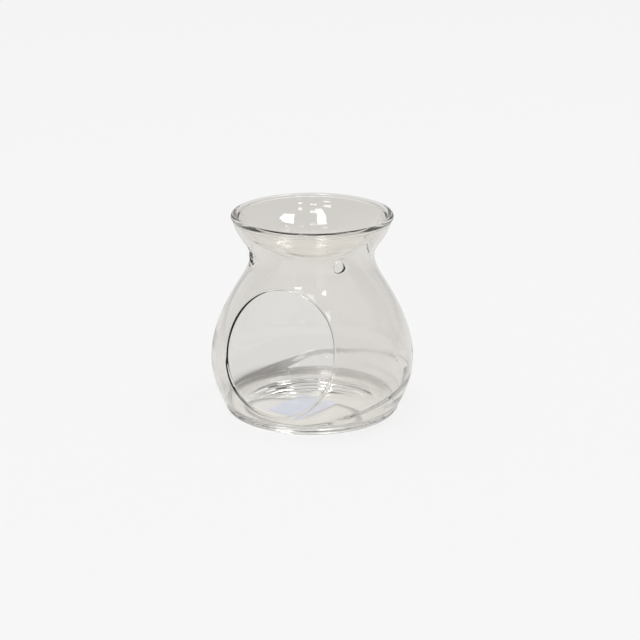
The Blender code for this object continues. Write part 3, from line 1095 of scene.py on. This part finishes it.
def lay_table():
    """A wide pale table top."""
    mesh = bpy.data.meshes.new("pale_table")
    far = TABLE_REACH
    mesh.from_pydata([(-far, -far, 0.0), (far, -far, 0.0), (far, far, 0.0), (-far, far, 0.0)],
                     [], [(0, 1, 2, 3)])
    table = bpy.data.objects.new("pale_table", mesh)
    bpy.context.scene.collection.objects.link(table)
    material, recipe = new_material("pale_table_top")
    camera_ray, seen = who_is_looking(recipe)
    place = recipe.node("ShaderNodeTexCoord", give="Object")
    level = recipe.node("ShaderNodeMix", BLEND, {
        "Factor": camera_ray,
        "A": table_in_glass(recipe, place),
        "B": grey(BACKGROUND),
    }, give="Result")
    real = GLASS_SHARE + camera_ray * (SHADOW_SHARE - GLASS_SHARE)
    lit = recipe.node("ShaderNodeBsdfDiffuse", None, {"Color": grey(0.80)})
    share = recipe.node("ShaderNodeBsdfDiffuse", None, {"Color": level})
    glow = recipe.node("ShaderNodeEmission", None, {"Color": level, "Strength": 1.0})
    pale = recipe.node("ShaderNodeMixShader", None, {0: real, 1: glow, 2: share})
    mixed = recipe.node("ShaderNodeMixShader", None, {0: seen, 1: lit, 2: pale})
    recipe.node("ShaderNodeOutputMaterial", None, {"Surface": mixed})
    mesh.materials.append(material)
    return table


table_top = lay_table()
print("table laid, pale level:", BACKGROUND)

# %% [markdown]
# ## Light
#
# Clear glass is lit by what stands round it. A bright wall straight behind the lamp keeps it clear,
# and dimmer walls at the sides and a dim ceiling give its edges something dark to bend in. An
# image of a room could do that. Here the room is two ramps: one round the compass, by how far a
# direction is from the bright wall, and one from there up to the ceiling. What isn't seen by the
# camera, gloss or glass is lit by one plain fill.

# %% Paint the room
FILL = 0.58                   # the plain light on everything that isn't glass
BACK_TURN = math.radians(CAMERA_TURN + 8.0)
BACK_WALL = (-math.sin(BACK_TURN), math.cos(BACK_TURN), 0.0)
WALL_LEVELS = [
    # 0 in front of the lamp, 1 at the bright wall behind it, and the colour there
    (0.0, (0.44, 0.43, 0.415, 1.0)),
    (0.45, (0.47, 0.46, 0.445, 1.0)),
    (0.8, (0.55, 0.54, 0.525, 1.0)),
    (0.93, (0.74, 0.73, 0.71, 1.0)),
    (0.98, (0.95, 0.94, 0.92, 1.0)),
]
CEILING_STARTS = [(0.80, grey(0.0)), (0.93, grey(1.0))]
CEILING = (0.42, 0.41, 0.40, 1.0)


def light_room():
    """A room that is brightest straight behind the lamp and dimmer at the sides and overhead."""
    world = bpy.data.worlds.new("pale_room")
    bpy.context.scene.world = world
    world.use_nodes = True
    recipe = Recipe(world.node_tree)
    aim = recipe.node("ShaderNodeTexCoord", give="Generated")
    flat = recipe.node("ShaderNodeVectorMath", {"operation": "MULTIPLY"},
                       {0: aim, 1: (1.0, 1.0, 0.0)})
    compass = recipe.node("ShaderNodeVectorMath", {"operation": "NORMALIZE"}, {0: flat})
    behind = recipe.node("ShaderNodeVectorMath", {"operation": "DOT_PRODUCT"},
                         {0: compass, 1: BACK_WALL}, give="Value")
    wall = recipe.node("ShaderNodeValToRGB", {"stops": WALL_LEVELS}, {"Fac": 0.5 + 0.5 * behind})
    height = recipe.node("ShaderNodeSeparateXYZ", None, {"Vector": aim}, give="Z")
    overhead = recipe.node("ShaderNodeValToRGB", {"stops": CEILING_STARTS}, {"Fac": height})
    level = recipe.node("ShaderNodeMix", BLEND,
                        {"Factor": overhead, "A": wall, "B": CEILING}, give="Result")
    camera_ray, seen = who_is_looking(recipe)
    room = recipe.node("ShaderNodeBackground", None, {"Color": level, "Strength": 1.0})
    fill = recipe.node("ShaderNodeBackground", None, {"Color": grey(FILL), "Strength": 1.0})
    mixed = recipe.node("ShaderNodeMixShader", None, {0: seen, 1: fill, 2: room})
    recipe.node("ShaderNodeOutputWorld", None, {"Surface": mixed})


light_room()
print("levels round the room:", len(WALL_LEVELS))

# %% [markdown]
# ## The small highlights
#
# A few small, sharp highlights tell the eye that there is glass. They are mirror images of lamps,
# so a soft box stands where a mirror on the glass would send the camera's look. Two of them make
# the pair of highlights in the dish, and three make the row on the belly.

# %% Hang the soft boxes
LAMP_MIDDLE = Vector((0.0, 0.0, 0.05))


def direction(azimuth, elevation):
    """From the lamp outward, in degrees. Azimuth 0 is straight in front."""
    turn, lift = math.radians(azimuth), math.radians(elevation)
    return spun(turn, math.cos(lift), math.sin(lift))


def facing(away):
    """The turn of a light or camera that stands out that way and looks at the lamp."""
    return away.to_track_quat("Z", "Y").to_matrix().to_4x4()


def soft_box(name, azimuth, elevation, distance, width, height, roll, glow):
    """A rectangular light aimed at the lamp's middle."""
    away = direction(azimuth, elevation)
    light = bpy.data.lights.new(name, "AREA")
    light.shape = "RECTANGLE"
    light.size = width
    light.size_y = height
    light.energy = glow * math.pi * width * height
    box = bpy.data.objects.new(name, light)
    bpy.context.scene.collection.objects.link(box)
    aimed = facing(away) @ Matrix.Rotation(math.radians(roll), 4, "Z")
    box.matrix_world = Matrix.Translation(LAMP_MIDDLE + away * distance) @ aimed
    return box


SOFT_BOXES = (
    # name, degrees round from the photograph's side, elevation, metres away, width, height, roll,
    # and how bright its face is
    ("front_left_box", -26.0, 34.0, 3.2, 0.60, 0.20, 0.0, 5.5),
    ("front_box", -2.0, 45.0, 3.2, 0.50, 0.25, 0.0, 4.5),
    ("front_right_box", 22.0, 39.0, 3.2, 0.30, 0.30, 0.0, 5.0),
    ("overhead_box", -39.0, 76.0, 2.8, 0.42, 2.10, 39.0, 6.0),
    ("side_box", 94.0, 67.0, 3.0, 0.90, 0.66, 0.0, 8.0),
)
for name, azimuth, elevation, distance, width, height, roll, glow in SOFT_BOXES:
    soft_box(name, azimuth + CAMERA_TURN, elevation, distance, width, height, roll, glow)
print("soft boxes:", len(SOFT_BOXES))

# %% [markdown]
# ## The camera
#
# The photograph was taken from a little above with a long lens. The lens shift only slides the
# frame, so that the lamp sits where it does in the photograph.

# %% Place the camera
CAMERA_LIFT = 18.0            # degrees above the table
CAMERA_LENS = 112.5           # millimetres, on a sensor 36 mm wide, one metre away
CAMERA_SHIFT = (0.0122, -0.0110)


def place_camera():
    """A long lens from the photograph's side."""
    away = direction(CAMERA_TURN, CAMERA_LIFT)
    data = bpy.data.cameras.new("photo_camera")
    data.lens = CAMERA_LENS
    data.sensor_width = 36.0
    data.shift_x, data.shift_y = CAMERA_SHIFT
    camera = bpy.data.objects.new("photo_camera", data)
    bpy.context.scene.collection.objects.link(camera)
    camera.matrix_world = Matrix.Translation(LAMP_MIDDLE + away) @ facing(away)
    bpy.context.scene.camera = camera
    return camera


camera = place_camera()
scene = bpy.context.scene
scene.view_settings.view_transform = "Standard"
scene.cycles.max_bounces = 64
scene.cycles.transmission_bounces = 64
scene.cycles.transparent_max_bounces = 64
scene.cycles.glossy_bounces = 16
print("camera at", [round(value, 3) for value in camera.location])
